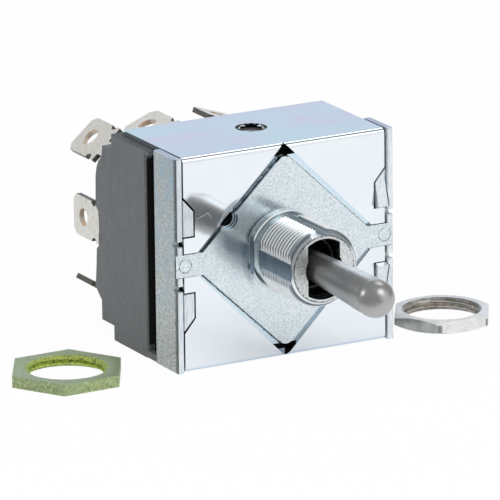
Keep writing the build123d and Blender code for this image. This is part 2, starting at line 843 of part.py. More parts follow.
def panel_nut_nickel():
    """Smaller panel nut with its corners turned down on both faces."""
    nut = hexagon(nickel_nut_flats, nickel_nut_thickness, nickel_nut_turn_deg)
    corner = nickel_nut_flats / 2 / cos(radians(30))
    flat = nickel_nut_flats / 2
    reach = corner - nickel_nut_corner_trim
    drop = nickel_nut_corner_drop
    outline = [
        (0, 0),
        (flat, 0),
        (reach, drop),
        (reach, nickel_nut_thickness - drop),
        (flat, nickel_nut_thickness),
        (0, nickel_nut_thickness),
    ]
    nut &= revolve(Plane.XZ * make_face(Polyline(*outline, close=True)), axis=Axis.Z)
    nut -= nut_bore(nickel_nut_thickness, nickel_nut_mouth_radius, nickel_nut_mouth_depth)
    return Pos(*nickel_nut_place, floor_z) * nut


def all_pieces():
    """Every piece of the switch by name."""
    pieces = {
        "front_cover_upper": front_cover(1),
        "front_cover_lower": front_cover(-1),
        "side_plate_left": side_plate(-1, 0),
        "side_plate_right": side_plate(1, raised_tab_lift_deg),
        "bushing_plate": bushing_plate(),
        "bushing_liner": bushing_liner(),
        "lever": lever(),
        "lever_pin": lever_pin(),
        "mechanism_case": mechanism_case(),
        "actuator": actuator(),
        "base": base(),
        "fixed_contacts": fixed_contacts(),
        "cover_screws": cover_screws(),
        "panel_nut_chromate": panel_nut_chromate(),
        "panel_nut_nickel": panel_nut_nickel(),
    }
    for number, pole in poles.items():
        pieces[f"plunger_{number}"] = plunger(pole)
        pieces[f"plunger_spring_{number}"] = plunger_spring(pole)
        pieces[f"contact_rocker_{number}"] = contact_rocker(pole)
        for row in ("top", "middle", "bottom"):
            pieces[f"terminal_{number}_{row}"] = terminal(pole, row)
    return pieces


os.makedirs("parts", exist_ok=True)
for name, piece in all_pieces().items():
    export_step(piece, f"parts/{name}.step")
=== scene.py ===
import bpy
import bmesh
import json
from math import cos, pi, radians, sin
from mathutils import Matrix, Vector


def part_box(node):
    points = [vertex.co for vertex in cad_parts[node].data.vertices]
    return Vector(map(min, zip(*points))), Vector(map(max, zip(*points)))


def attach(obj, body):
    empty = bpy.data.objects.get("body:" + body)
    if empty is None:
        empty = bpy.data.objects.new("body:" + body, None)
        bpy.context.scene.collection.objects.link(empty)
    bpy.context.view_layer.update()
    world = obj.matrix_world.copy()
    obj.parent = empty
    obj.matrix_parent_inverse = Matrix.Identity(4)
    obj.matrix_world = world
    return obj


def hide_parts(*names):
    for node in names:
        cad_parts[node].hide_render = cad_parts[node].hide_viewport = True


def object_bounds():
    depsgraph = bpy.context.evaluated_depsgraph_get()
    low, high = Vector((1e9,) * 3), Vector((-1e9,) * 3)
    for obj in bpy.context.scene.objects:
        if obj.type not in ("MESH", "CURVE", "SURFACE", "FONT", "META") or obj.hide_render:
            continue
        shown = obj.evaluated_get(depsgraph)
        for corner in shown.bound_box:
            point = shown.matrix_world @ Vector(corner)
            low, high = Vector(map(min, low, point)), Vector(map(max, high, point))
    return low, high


# Looks of the panel toggle switch. The frame is in metres, and the sizes here in millimetres.
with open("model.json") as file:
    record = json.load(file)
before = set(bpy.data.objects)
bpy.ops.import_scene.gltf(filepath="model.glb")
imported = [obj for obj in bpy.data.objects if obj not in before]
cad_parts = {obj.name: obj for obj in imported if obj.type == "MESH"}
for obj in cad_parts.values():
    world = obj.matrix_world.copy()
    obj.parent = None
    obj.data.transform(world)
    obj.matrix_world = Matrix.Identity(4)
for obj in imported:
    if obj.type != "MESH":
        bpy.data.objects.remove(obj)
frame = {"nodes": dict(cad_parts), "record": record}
cad_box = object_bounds()
nodes = frame["nodes"]
MM = 0.001


def box_mm(node):
    """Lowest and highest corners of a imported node, in millimetres."""
    low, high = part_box(node)
    return Vector(low) / MM, Vector(high) / MM


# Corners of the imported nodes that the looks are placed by
cover_low, cover_high = box_mm("front_cover_upper")
plate_low, plate_high = box_mm("side_plate_left")
casting_low = box_mm("bushing_plate")[0]
base_high = box_mm("base")[1]
screws_high = box_mm("cover_screws")[1]
tab_high = box_mm("terminal_1_top")[1]
lever_low = box_mm("lever")[0]

ORIGIN = (0, 0, 0)
ALONG_Y = (0, 1, 0)
ALONG_Z = (0, 0, 1)
WHITE = (1.0, 1.0, 1.0)

# Bushing thread: outside and root radius, pitch, where it starts and where the bushing ends, its
# lands, and the steps of the spiral in one turn
THREAD_RADIUS = 5.95
THREAD_ROOT = 5.46
THREAD_PITCH = 0.79375
THREAD_START_Y = -0.6
BUSHING_END_Y = casting_low.y
THREAD_OUTER_LAND = 0.20
THREAD_ROOT_LAND = 0.06
THREAD_STEPS = 72

# Cutting: how far a cutter reaches past a wall, what is welded and what is flat before the cut,
# and how sharp an edge of the cut mesh has to be to stay sharp
CUTTER_REACH = 0.05
WELD_GAP = 0.0005
FLAT_ANGLE_DEG = 0.05
SHARP_ANGLE_DEG = 30

# Nuts: bore, root of the inside thread, and how much of a pitch its groove opens
NUT_BORE = 5.55
NUT_THREAD_ROOT = 6.0
NUT_GROOVE_SHARE = 0.90

# Nickel nut: the way that its flats in painted shade look, and where its cut corners, also in
# painted shade, start
NICKEL_SHADED_SIDE = (0.87, 0.49, 0)
NICKEL_CORNER_RADIUS = 7.945

# Tabs: radius of the hole and its place, 3.2 before the tab's end, how far its worn rim shows the
# copper, and how far from the hole's rim the dark sheared edges begin
TAB_HOLE_RADIUS = 1.35
TAB_HOLE_Y = tab_high.y - 3.2
TAB_RIM = (0.02, 0.16)
TAB_EDGE_GAP = 0.5

# Cover: its top and its front, and where its top face and the bend at its foot, with its painted
# reflection, begin
COVER_TOP_Z = cover_high.z
COVER_FRONT_Y = cover_low.y
TOP_FACE_Z = COVER_TOP_Z - 0.45
LOWER_BEND_Z = 0.55 - COVER_TOP_Z

# Pink patches on the top of the cover, as places and radii
PINK_PATCHES = (
    ((-13.0, 10.0, COVER_TOP_Z), 4.5),
    ((-5.5, 5.0, COVER_TOP_Z), 5.0),
    ((9.0, 12.5, COVER_TOP_Z), 4.0),
)

# Hairline scratches in the front of the cover, as start and end points, and their width
HAIRLINES = (
    ((-14.6, COVER_FRONT_Y, 6.9), (-12.8, COVER_FRONT_Y, 7.5)),
    ((-12.85, COVER_FRONT_Y, 7.5), (-12.25, COVER_FRONT_Y, 6.7)),
)
HAIRLINE_WIDTH = 0.07

# Side plates: outer faces by distance from the middle, how far back the front edge with its painted
# highlight and its torn corner reach, the top edge, and the height over which the blue tint grows
PLATE_OUTSIDE_X = -plate_low.x - 0.08
PLATE_EDGE_Y = plate_low.y + 0.70
PLATE_TORN_Y = plate_low.y + 0.80
PLATE_TOP_Z = plate_high.z - 0.1
PLATE_TINT_Z = plate_high.z - 0.3

# Casting: how far behind a face its marks still hold
FACE_DEPTH = 0.05

# Barrel of the casting: its flat, painted dark as a painted reflection, and half the height of its
# smooth band, how deep the lands beside it get painted highlights, and over which height the lower
# ones get weaker
BARREL_FLAT_X = -5.3
FLAT_HALF_HEIGHT = 1.3
TICK_DEPTH = 0.03
TICK_FADE_Z = 1.0

# Thread's marks by radius: crests with painted highlights, where grooves are plain and where
# painted shade darkens them, and the bore's wall
CREST_RADIUS = THREAD_RADIUS - 0.08
GROOVE_PLAIN_RADIUS = THREAD_RADIUS - 0.05
GROOVE_SHADE_RADIUS = THREAD_ROOT + 0.22
GROOVE_INNER_RADIUS = THREAD_ROOT - 0.04

# Mouth of the bushing: plain band behind it, depth of its rough end, and radii of its dark ring
MOUTH_BAND = 0.25
MOUTH_DEPTH = 0.08
MOUTH_RING = (4.95, 5.16)

# Collar of the casting: radius, flat, side face between its edges, painted dark as a painted
# reflection, and the rim at its front, painted white as a painted highlight
COLLAR_RADIUS = 6.3
COLLAR_FLAT_X = -5.65
COLLAR_SIDE_Y = (0.12, 0.78)
COLLAR_RIM_Y = (-0.05, 0.24)
COLLAR_RIM_WIDTH = 0.18

# Pad of the casting: what lies past its radius is pad. Its front rim with a painted highlight, its
# foot in painted shade and the ledge round it, bluish as a painted reflection, lie between places
# along Y. A line of painted shadow crosses the ledge: its reach along X, how much faster that reach
# shrinks along Z, and its width
PAD_RADIUS = 7.4
PAD_RIM_Y = (0.85, 0.97)
PAD_FOOT_Y = (1.02, 1.42)
LEDGE_Y = (1.54, 1.70)
FOOT_REACH = 15.9
FOOT_SLOPE = 1.05
FOOT_WIDTH = 0.6

# Screws: the height under which a head is painted dark as shade in its recess. Sleeve: the lip
# inside it, by place and radius, where a painted highlight lies
SCREW_RECESS_Z = screws_high.z - 0.05
SLEEVE_LIP_Y = (-7.2, -6.2)
SLEEVE_LIP_RADII = (3.62, 3.86)

# Base: its front rim, painted black as shade between the side plates' lugs, and where its top face
# begins, painted darker as shade
BASE_RIM_Y = 10.36
BASE_LUG_Z = 14.3
BASE_TOP_Z = base_high.z - 0.1

# Lever: plain colour, where its ball begins, and the way that the faces with its painted highlight look
LEVER_COLOR = (0.37, 0.365, 0.36)
LEVER_BALL_Y = lever_low.y + 4.69
LEVER_HIGHLIGHT_SIDE = (0.18, 0, 0.984)

# Floor: half its side in metres, how white it is seen and mirrored, and where its mirrored light
# dims to the left front, by X plus a share of Y
FLOOR_REACH_M = 3.0
FLOOR_SEEN = 0.96
FLOOR_MIRRORED = 0.30
FLOOR_DIM_SLOPE = 0.54
FLOOR_DIM_PLACE = (-60, -28)
FLOOR_DIM_LEVEL = 0.35
FLOOR_COLOR = (0.93, 0.94, 0.95)

# Lamp overhead: place, side and power
LAMP_PLACE = (-150, -250, 700)
LAMP_SIDE = 800
LAMP_WATTS = 3.2

# Room: its plain level, and soft boxes as direction, angles at full and at no light, and colour
ROOM_COLOR = (0.30, 0.31, 0.32)
SOFT_BOXES = (
    ((0.24, -0.62, 0.75), 8, 20, (2.2, 2.2, 2.2)),
    ((0.46, 0.32, 0.83), 6, 16, (1.6, 1.6, 1.6)),
    ((-0.77, 0.49, 0.40), 6, 14, (2.2, 2.2, 2.2)),
    ((0.46, 0.85, 0.20), 16, 32, (0.30, 0.37, 0.46)),
    ((0.55, -0.80, 0.25), 15, 40, (0.55, 0.55, 0.55)),
)


# Objects and meshes

def new_object(name, data):
    """Link a mesh, lamp or camera to the scene as an object."""
    made = bpy.data.objects.new(name, data)
    bpy.context.scene.collection.objects.link(made)
    return made


def smooth(mesh):
    """Smooth shading with sharp edges where faces turn by more than the sharp angle."""
    if "custom_normal" in mesh.attributes:
        mesh.attributes.remove(mesh.attributes["custom_normal"])
    mesh.polygons.foreach_set("use_smooth", [True] * len(mesh.polygons))
    mesh.set_sharp_from_angle(angle=radians(SHARP_ANGLE_DEG))
    mesh.update()


def closed_object(name, points_mm, faces):
    """Object from points in millimetres and faces, with its faces looking outward."""
    mesh = bpy.data.meshes.new(name)
    mesh.from_pydata([Vector(p) * MM for p in points_mm], [], faces)
    mesh.validate()
    work = bmesh.new()
    work.from_mesh(mesh)
    bmesh.ops.recalc_face_normals(work, faces=work.faces)
    work.to_mesh(mesh)
    work.free()
    return new_object(name, mesh)


# Shader nodes

def feed(tree, socket, value):
    """Link a socket to another socket, or set it to a plain value."""
    if isinstance(value, bpy.types.NodeSocket):
        tree.links.new(value, socket)
    else:
        socket.default_value = value


def math_node(tree, operation, *values):
    """Math node in a tree on sockets and numbers."""
    made = tree.nodes.new("ShaderNodeMath")
    made.operation = operation
    for socket, value in zip(made.inputs, values):
        feed(tree, socket, value)
    return made.outputs[0]


def vector_node(tree, operation, *values):
    """Vector math node in a tree on sockets and vectors."""
    made = tree.nodes.new("ShaderNodeVectorMath")
    made.operation = operation
    sockets = (made.inputs[0], made.inputs["Scale"]) if operation == "SCALE" else made.inputs
    for socket, value in zip(sockets, values):
        feed(tree, socket, value)
    gives_number = operation in ("DOT_PRODUCT", "LENGTH", "DISTANCE")
    return made.outputs["Value" if gives_number else "Vector"]


def map_range(tree, factor, low, high, from_low, from_high, kind="LINEAR"):
    """Map one range of a factor onto another, and stop at its ends."""
    made = tree.nodes.new("ShaderNodeMapRange")
    made.interpolation_type = kind
    made.inputs["From Min"].default_value = from_low
    made.inputs["From Max"].default_value = from_high
    made.inputs["To Min"].default_value = low
    made.inputs["To Max"].default_value = high
    tree.links.new(factor, made.inputs["Value"])
    return made.outputs["Result"]


class Shader:
    """One node-based material, built up step by step. Its masks are 0 to 1."""

    def __init__(self, name, color, metallic, roughness):
        """Start with plain values. What is linked later takes their place."""
        self.material = bpy.data.materials.new(name)
        self.material.use_nodes = True
        self.tree = self.material.node_tree
        self.inputs = self.tree.nodes["Principled BSDF"].inputs
        self.inputs["Base Color"].default_value = (*color, 1)
        self.inputs["Metallic"].default_value = metallic
        self.inputs["Roughness"].default_value = roughness
        self.coords = self.tree.nodes.new("ShaderNodeTexCoord").outputs["Object"]
        split = self.tree.nodes.new("ShaderNodeSeparateXYZ")
        self.link(self.coords, split.inputs[0])
        self.xyz = tuple(split.outputs)

    def link(self, source, target):
        """Link an output to an input."""
        self.tree.links.new(source, target)

    def math(self, operation, *values):
        """Math node on sockets and numbers."""
        return math_node(self.tree, operation, *values)

    def vector(self, operation, *values):
        """Vector math node on sockets and vectors."""
        return vector_node(self.tree, operation, *values)

    def noise(self, size_mm, detail=3.0, stretch=(1, 1, 1), rough=0.55):
        """Noise whose blotches are about size_mm across, squeezed by a factor on each axis."""
        mapping = self.tree.nodes.new("ShaderNodeMapping")
        mapping.inputs["Scale"].default_value = stretch
        self.link(self.coords, mapping.inputs["Vector"])
        made = self.tree.nodes.new("ShaderNodeTexNoise")
        made.inputs["Scale"].default_value = 1 / (size_mm * MM)
        made.inputs["Detail"].default_value = detail
        made.inputs["Roughness"].default_value = rough
        self.link(mapping.outputs["Vector"], made.inputs["Vector"])
        return made.outputs["Fac"]

    def ramp(self, factor, stops):
        """Colour ramp through (place, colour) stops."""
        made = self.tree.nodes.new("ShaderNodeValToRGB")
        elements = made.color_ramp.elements
        while len(elements) < len(stops):
            elements.new(0.5)
        for element, (place, color) in zip(elements, stops):
            element.position = place
            element.color = (*color, 1)
        self.link(factor, made.inputs["Fac"])
        return made.outputs["Color"]

    def mix(self, factor, color_a, color_b):
        """Mix two colours, each a socket or an RGB value, by a mask."""
        made = self.tree.nodes.new("ShaderNodeMix")
        made.data_type = "RGBA"
        self.link(factor, made.inputs["Factor"])
        for key, value in (("A", color_a), ("B", color_b)):
            socket = [s for s in made.inputs if s.name == key and s.type == "RGBA"][0]
            feed(self.tree, socket, (*value, 1) if isinstance(value, tuple) else value)
        return [s for s in made.outputs if s.type == "RGBA"][0]

    def span(self, noise, low, high, from_low=0.3, from_high=0.7):
        """Map a noise, or another factor with its range given, onto a range of values."""
        return map_range(self.tree, noise, low, high, from_low, from_high)

    def blend(self, mask, without, within):
        """One value where a mask is 0, another where it is 1, and between them elsewhere."""
        return self.span(mask, without, within, 0.0, 1.0)

    def inverse(self, mask):
        """1 where a mask is 0."""
        return self.math("SUBTRACT", 1.0, mask)

    def all_of(self, *masks):
        """Product of masks and shares."""
        product = masks[0]
        for mask in masks[1:]:
            product = self.math("MULTIPLY", product, mask)
        return product

    def any_of(self, *masks):
        """Greatest of several masks."""
        greatest = masks[0]
        for mask in masks[1:]:
            greatest = self.math("MAXIMUM", greatest, mask)
        return greatest

    def past(self, length, place_mm, soft_mm=0.05):
        """0 where a length is below a place and 1 above it."""
        return self.span(length, 0.0, 1.0, (place_mm - soft_mm) * MM, (place_mm + soft_mm) * MM)

    def before(self, length, place_mm, soft_mm=0.05):
        """1 where a length is below a place and 0 above it."""
        return self.inverse(self.past(length, place_mm, soft_mm))

    def within(self, length, low_mm, high_mm, soft_mm=0.05):
        """1 where a length is between two places."""
        past_low = self.past(length, low_mm, soft_mm)
        past_high = self.past(length, high_mm, soft_mm)
        return self.math("SUBTRACT", past_low, past_high)

    def ragged(self, length, amount_mm, size_mm):
        """A length made uneven by noise, for torn and sheared edges."""
        push = self.span(self.noise(size_mm), -amount_mm * MM, amount_mm * MM)
        return self.math("ADD", length, push)

    def distance_from(self, axis_letter):
        """Distance from the middle plane across one axis."""
        return self.math("ABSOLUTE", self.xyz["XYZ".index(axis_letter)])

    def offset(self, point_mm):
        """Object coordinates from a point."""
        return self.vector("SUBTRACT", self.coords, Vector(point_mm) * MM)

    def from_line(self, point_mm, axis):
        """Distance from the line through a point along a unit axis."""
        return self.vector("LENGTH", self.vector("CROSS_PRODUCT", self.offset(point_mm), axis))

    def facing(self, axis):
        """How much a face looks along an axis or against it, 0 to 1."""
        normal = self.tree.nodes.new("ShaderNodeNewGeometry").outputs["Normal"]
        return self.math("ABSOLUTE", self.vector("DOT_PRODUCT", normal, axis))

    def patch(self, place_mm, radius_mm):
        """1 at a place, fading to 0 at a radius."""
        gap = self.vector("LENGTH", self.offset(place_mm))
        return self.span(gap, 1.0, 0.0, 0.0, radius_mm * MM)

    def hairline(self, start_mm, end_mm, width_mm):
        """1 along a thin straight line between two points."""
        way = (Vector(end_mm) - Vector(start_mm)) * MM
        offset = self.offset(start_mm)
        share = self.blend(self.vector("DOT_PRODUCT", offset, way / way.length_squared), 0.0, 1.0)
        gap = self.vector("DISTANCE", offset, self.vector("SCALE", way, share))
        return self.span(gap, 1.0, 0.0, width_mm * MM / 4, width_mm * MM)

    def color(self, source):
        """Set the surface's colour."""
        self.link(source, self.inputs["Base Color"])

    def metallic(self, source):
        """Set how metallic the surface is."""
        self.link(source, self.inputs["Metallic"])

    def roughness(self, source):
        """Set the surface's roughness."""
        self.link(source, self.inputs["Roughness"])

    def bump(self, *layers):
        """Stack bump layers, each (height socket, strength, depth in millimetres)."""
        normal = None
        for height, strength, depth_mm in layers:
            made = self.tree.nodes.new("ShaderNodeBump")
            made.inputs["Strength"].default_value = strength
            made.inputs["Distance"].default_value = depth_mm * MM
            self.link(height, made.inputs["Height"])
            if normal is not None:
                self.link(normal, made.inputs["Normal"])
            normal = made.outputs["Normal"]
        self.link(normal, self.inputs["Normal"])


# Materials of the cover, the side plates and the screws

def bright_cover():
    """Bright zinc plate: near mirror, with faint lilac and pink clouds on the top and hairlines."""
    s = Shader("bright_cover", (0.92, 0.97, 1.0), 1.0, 0.07)
    z = s.xyz[2]
    tint = s.ramp(s.noise(9, detail=2.0, stretch=(0.45, 1, 1)), [
        (0.30, (0.82, 0.99, 1.0)),
        (0.47, (0.86, 0.96, 1.0)),
        (0.58, (0.90, 0.90, 1.0)),
        (0.70, (0.97, 0.88, 0.98)),
    ])
    pink = s.any_of(*(s.patch(place, radius) for place, radius in PINK_PATCHES))
    pink = s.all_of(pink, s.span(s.noise(2.5, stretch=(0.5, 1, 1)), 0.2, 1.0), 0.8)
    top = s.mix(pink, tint, (0.98, 0.80, 0.98))
    plain = s.ramp(s.noise(6, detail=2.0), [(0.35, (0.91, 0.955, 1.0)), (0.65, (0.94, 0.98, 1.0))])
    color = s.mix(s.past(z, TOP_FACE_Z, 0.1), plain, top)
    # The bend at the foot is painted bluish, a painted reflection.
    color = s.mix(s.before(z, LOWER_BEND_Z, 0.12), color, (0.76, 0.86, 0.97))
    lines = s.any_of(*(s.hairline(start, end, HAIRLINE_WIDTH) for start, end in HAIRLINES))
    wear_and_glints = s.all_of(lines, s.span(s.noise(0.5), 0.4, 0.9))
    s.color(s.mix(wear_and_glints, color, (0.95, 0.90, 0.88)))
    s.roughness(s.math("MULTIPLY_ADD", wear_and_glints, 0.30, s.span(s.noise(2.5, detail=4.0), 0.04, 0.08)))
    s.bump((s.noise(3.0, detail=2.0), 0.10, 0.015), (s.noise(0.12, detail=2.0), 0.06, 0.002))
    return s.material


def plated_side():
    """Plated thicker sheet: streaked side face, front edge brightened as a painted highlight, dark torn
    rim at its corner.
    """
    s = Shader("plated_side", (0.55, 0.57, 0.56), 1.0, 0.34)
    _, y, z = s.xyz
    outside = s.past(s.distance_from("X"), PLATE_OUTSIDE_X, 0.03)
    streaks = s.noise(0.24, detail=5.0, stretch=(1, 0.35, 1), rough=0.7)
    grain = s.ramp(streaks, [
        (0.34, (0.24, 0.27, 0.27)),
        (0.48, (0.52, 0.53, 0.50)),
        (0.58, (0.62, 0.63, 0.60)),
        (0.68, (0.92, 0.93, 0.88)),
    ])
    clouds = s.span(s.noise(2.5, detail=4.0), 0.0, 1.0)
    rising = s.span(z, 0.15, 0.8, -PLATE_TINT_Z * MM, PLATE_TINT_Z * MM)
    face = s.mix(s.all_of(clouds, rising), grain, (0.34, 0.52, 0.64))
    edge = s.ramp(s.noise(0.25, stretch=(1, 1, 0.12)), [
        (0.30, (0.62, 0.72, 0.80)),
        (0.50, (0.86, 0.91, 0.94)),
        (0.65, (0.96, 0.98, 1.0)),
    ])
    # The front edge is painted pale and half metallic, a painted highlight.
    front_highlight = s.all_of(s.before(y, PLATE_EDGE_Y, 0.1), s.inverse(outside))
    s.metallic(s.blend(front_highlight, 1.0, 0.5))
    color = s.mix(front_highlight, face, edge)
    color = s.mix(s.past(z, PLATE_TOP_Z, 0.03), color, (0.70, 0.74, 0.84))
    corner = s.before(s.ragged(y, 0.35, 0.18), PLATE_TORN_Y)
    torn = s.all_of(corner, outside, s.span(s.noise(0.15), 0.45, 1.0))
    s.color(s.mix(torn, color, (0.13, 0.14, 0.14)))
    s.roughness(s.math("MULTIPLY_ADD", torn, 0.25, s.span(streaks, 0.26, 0.42)))
    s.bump((streaks, 0.45, 0.025), (s.noise(0.1), 0.2, 0.01))
    return s.material


def screw_steel():
    """Bright screw head with its recess painted dark as shade."""
    s = Shader("screw_steel", (0.88, 0.88, 0.86), 0.5, 0.2)
    # Below the head's top the screw is painted near black, a painted shade in its recess.
    recess = s.before(s.distance_from("Z"), SCREW_RECESS_Z, 0.03)
    clouds = s.ramp(s.noise(0.8), [(0.35, (0.78, 0.78, 0.76)), (0.65, (0.95, 0.95, 0.93))])
    s.color(s.mix(recess, clouds, (0.03, 0.03, 0.03)))
    s.roughness(s.span(s.noise(0.4), 0.14, 0.26))
    s.bump((s.noise(0.2), 0.1, 0.01))
    return s.material


# Material of the casting

def barrel_marks(s, radius, color):
    """Painted shade in grooves, painted highlights on crests and ticks: gives colour, highlight and
    flat masks.
    """
    x, y, z = s.xyz
    barrel = s.before(y, THREAD_START_Y - FACE_DEPTH)
    color = s.mix(s.all_of(barrel, 0.7), color, (0.97, 0.99, 1.0))
    # Grooves are painted dark as shade, darker on the lower side where less light falls.
    depth = s.span(radius, 1.0, 0.0, GROOVE_SHADE_RADIUS * MM, GROOVE_PLAIN_RADIUS * MM)
    thread = s.all_of(s.past(radius, GROOVE_INNER_RADIUS, 0.02), s.past(y, BUSHING_END_Y + MOUTH_BAND))
    shade = s.mix(s.past(z, 0.0, 1.0), (0.16, 0.20, 0.23), (0.36, 0.42, 0.46))
    color = s.mix(s.all_of(depth, barrel, thread), color, shade)
    beside = s.past(s.ragged(s.distance_from("Z"), 0.20, 0.25), FLAT_HALF_HEIGHT, 0.12)
    flat = s.all_of(s.before(x, BARREL_FLAT_X + FACE_DEPTH, 0.03), barrel, s.inverse(beside))
    # Ticks beside the flat and the crests are painted white as painted highlights; lower ticks fade.
    ticks = s.all_of(s.before(x, BARREL_FLAT_X + TICK_DEPTH, 0.01), barrel, beside)
    ticks = s.all_of(ticks, s.span(z, 0.6, 1.0, -TICK_FADE_Z * MM, TICK_FADE_Z * MM))
    crest = s.all_of(s.past(radius, CREST_RADIUS, 0.02), barrel)
    wear_and_glints = s.any_of(ticks, crest)
    return s.mix(wear_and_glints, color, WHITE), wear_and_glints, flat


def collar_marks(s, radius):
    """Masks of the collar's flat side, painted dark as a reflection, and of its front rim's painted
    highlight.
    """
    x, y, _ = s.xyz
    on_flat = s.all_of(s.before(x, COLLAR_FLAT_X + FACE_DEPTH, 0.03), s.before(radius, PAD_RADIUS))
    side = s.all_of(on_flat, s.within(y, *COLLAR_SIDE_Y))
    ring = s.within(radius, COLLAR_RADIUS - COLLAR_RIM_WIDTH, PAD_RADIUS, 0.03)
    return side, s.all_of(s.within(y, *COLLAR_RIM_Y, 0.02), ring)


def pad_marks(s, radius, color):
    """Ledge in a bluish painted reflection, rim in a painted highlight: gives colour, and the mask of
    painted shade at the pad's foot.
    """
    y = s.xyz[1]
    outer = s.past(radius, PAD_RADIUS)
    ledge = s.all_of(s.within(y, *LEDGE_Y, 0.03), outer)
    # The ledge is painted bluish and paler, a painted reflection.
    color = s.mix(s.all_of(ledge, 0.7), color, (0.74, 0.89, 1.0))
    # The pad's front rim is painted white, a painted highlight.
    color = s.mix(s.all_of(s.within(y, *PAD_RIM_Y, 0.02), outer), color, WHITE)
    # A line of painted shadow on the ledge, and painted shade at the pad's foot.
    reach = s.math("MULTIPLY_ADD", s.distance_from("Z"), FOOT_SLOPE, s.distance_from("X"))
    line = s.within(s.ragged(reach, 0.10, 0.4), FOOT_REACH - FOOT_WIDTH, FOOT_REACH, 0.06)
    foot = s.all_of(s.within(s.ragged(y, 0.12, 0.3), *PAD_FOOT_Y), outer)
    return color, s.any_of(foot, s.all_of(ledge, line))


def zinc_casting():
    """Plated die casting: satin grain, painted highlights and shade on barrel, collar and pad, and a
    rough end face.
    """
    s = Shader("zinc_casting", (0.72, 0.78, 0.81), 1.0, 0.20)
    radius = s.from_line(ORIGIN, ALONG_Y)
    grain = s.noise(0.22, detail=5.0, rough=0.7)
    blotches = s.noise(3.0, detail=4.0)
    satin = s.ramp(grain, [
        (0.36, (0.52, 0.60, 0.64)),
        (0.50, (0.79, 0.85, 0.87)),
        (0.64, (0.96, 0.99, 1.0)),
    ])
    color = s.mix(s.span(blotches, 0.0, 0.3), satin, (0.68, 0.82, 0.90))
    color, wear_and_glints, barrel_flat = barrel_marks(s, radius, color)
    collar_side, rim = collar_marks(s, radius)
    # The flats of barrel and collar are painted dark, a painted reflection.
    flats = s.ramp(grain, [(0.36, (0.14, 0.19, 0.24)), (0.64, (0.34, 0.42, 0.50))])
    color = s.mix(s.any_of(barrel_flat, collar_side), color, flats)
    # The collar's front rim is painted white, a painted highlight.
    color = s.mix(rim, color, WHITE)
    # Painted highlights get less metal, so they stay white.
    s.metallic(s.blend(s.any_of(wear_and_glints, rim), 1.0, 0.35))
    color, foot = pad_marks(s, radius, color)
    end = s.before(s.xyz[1], BUSHING_END_Y + MOUTH_DEPTH)
    end_grain = s.ramp(s.noise(0.35, detail=4.0, rough=0.7), [
        (0.36, (0.42, 0.44, 0.43)),
        (0.62, (0.92, 0.93, 0.91)),
    ])
    color = s.mix(s.all_of(end, 0.7), color, end_grain)
    ring = s.all_of(s.within(s.ragged(radius, 0.16, 0.4), *MOUTH_RING, 0.06), end)
    # Painted shade at the pad's foot, and the dark ring on the mouth.
    dark = s.any_of(foot, ring)
    s.color(s.mix(dark, color, (0.08, 0.09, 0.10)))
    s.roughness(s.math("MULTIPLY_ADD", s.any_of(dark, end), 0.22, s.span(blotches, 0.15, 0.24)))
    s.bump((grain, 0.40, 0.012), (s.noise(1.2), 0.12, 0.02))
    return s.material


# Materials of the mouldings

def black_moulding():
    """Black moulding, matt, with a painted highlight on the lip inside the sleeve."""
    s = Shader("black_moulding", (0.006, 0.006, 0.006), 0.0, 0.6)
    s.inputs["Specular IOR Level"].default_value = 0.15
    radius = s.from_line(ORIGIN, ALONG_Y)
    # The lip is painted light, a painted highlight on its edge.
    lip = s.all_of(s.within(s.xyz[1], *SLEEVE_LIP_Y), s.within(radius, *SLEEVE_LIP_RADII, 0.03))
    lip = s.all_of(lip, s.span(s.noise(1.5), 0.1, 1.0))
    flow = s.ramp(s.noise(5.0, detail=4.0), [
        (0.3, (0.005, 0.005, 0.005)),
        (0.7, (0.008, 0.008, 0.008)),
    ])
    s.color(s.mix(lip, flow, (0.35, 0.40, 0.40)))
    s.roughness(s.span(s.noise(1.0, detail=4.0), 0.54, 0.68))
    s.bump((s.noise(0.15), 0.25, 0.01))
    return s.material


def grey_moulding():
    """Grey moulded base: fine grain, faint upright marks, light specks, painted shade on its top and
    front rim.
    """
    s = Shader("grey_moulding", (0.145, 0.152, 0.155), 0.0, 0.42)
    _, y, z = s.xyz
    marks = s.noise(0.8, detail=5.0, stretch=(1, 1, 0.2))
    color = s.ramp(marks, [(0.32, (0.128, 0.134, 0.136)), (0.60, (0.148, 0.155, 0.158))])
    specks = s.span(s.noise(0.32, detail=1.0), 0.0, 1.0, 0.735, 0.77)
    color = s.mix(specks, color, (0.45, 0.47, 0.47))
    # The top face is painted darker, a painted shade.
    color = s.mix(s.past(z, BASE_TOP_Z, 0.04), color, (0.062, 0.065, 0.068))
    # The front rim between the lugs is painted near black, a painted shade.
    rim = s.all_of(s.before(y, BASE_RIM_Y, 0.03), s.before(s.distance_from("Z"), BASE_LUG_Z))
    s.color(s.mix(rim, color, (0.008, 0.008, 0.008)))
    s.roughness(s.math("MULTIPLY_ADD", rim, 0.3, s.span(s.noise(1.0, detail=4.0), 0.38, 0.50)))
    s.bump((s.noise(0.15), 0.30, 0.012), (marks, 0.08, 0.02))
    return s.material


def natural_moulding():
    """Uncoloured moulded plastic of the carriage, with a fine grain and faint flow marks."""
    s = Shader("natural_moulding", (0.55, 0.50, 0.42), 0.0, 0.45)
    flow = s.span(s.noise(5.0, detail=4.0, stretch=(1, 0.4, 1)), 0.0, 1.0)
    s.color(s.mix(flow, (0.473, 0.43, 0.361), (0.649, 0.59, 0.496)))
    s.roughness(s.span(s.noise(1.0, detail=4.0), 0.39, 0.53))
    s.bump((s.noise(0.15), 0.25, 0.01))
    return s.material


# Materials of the lever, the pins, the contacts and the tabs

